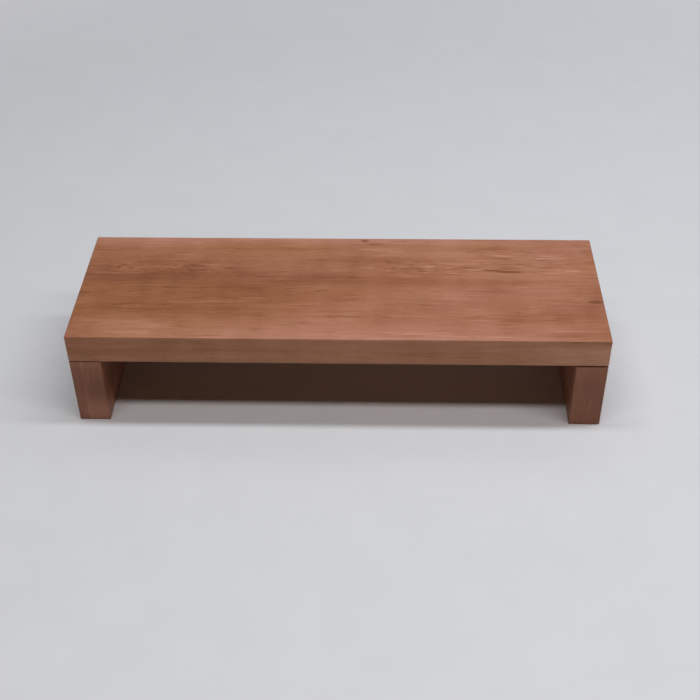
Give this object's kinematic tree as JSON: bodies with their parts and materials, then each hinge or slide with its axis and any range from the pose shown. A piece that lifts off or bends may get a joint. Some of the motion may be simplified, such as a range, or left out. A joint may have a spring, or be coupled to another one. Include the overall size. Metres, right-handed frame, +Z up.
{
  "type": "counter display riser",
  "caption": "Low wooden counter display riser: a thick rectangular board carried on a flush leg at each end, joined with hidden dowels.",
  "frame": {"origin": "on the counter, under the middle of the board", "axes": "+X along the board to the right, +Y from the front to the back, +Z up from the counter"},
  "size_m": [0.305, 0.1, 0.0623],
  "materials": {
    "board_wood": "satin",
    "leg_wood": "satin",
    "dowel_wood": "matte"
  },
  "bodies": {
    "root": {"top_board": "board_wood", "left_leg": "leg_wood", "right_leg": "leg_wood", "left_dowel_front": "dowel_wood", "left_dowel_middle": "dowel_wood", "left_dowel_back": "dowel_wood", "right_dowel_front": "dowel_wood", "right_dowel_middle": "dowel_wood", "right_dowel_back": "dowel_wood"}
  },
  "joints": []
}
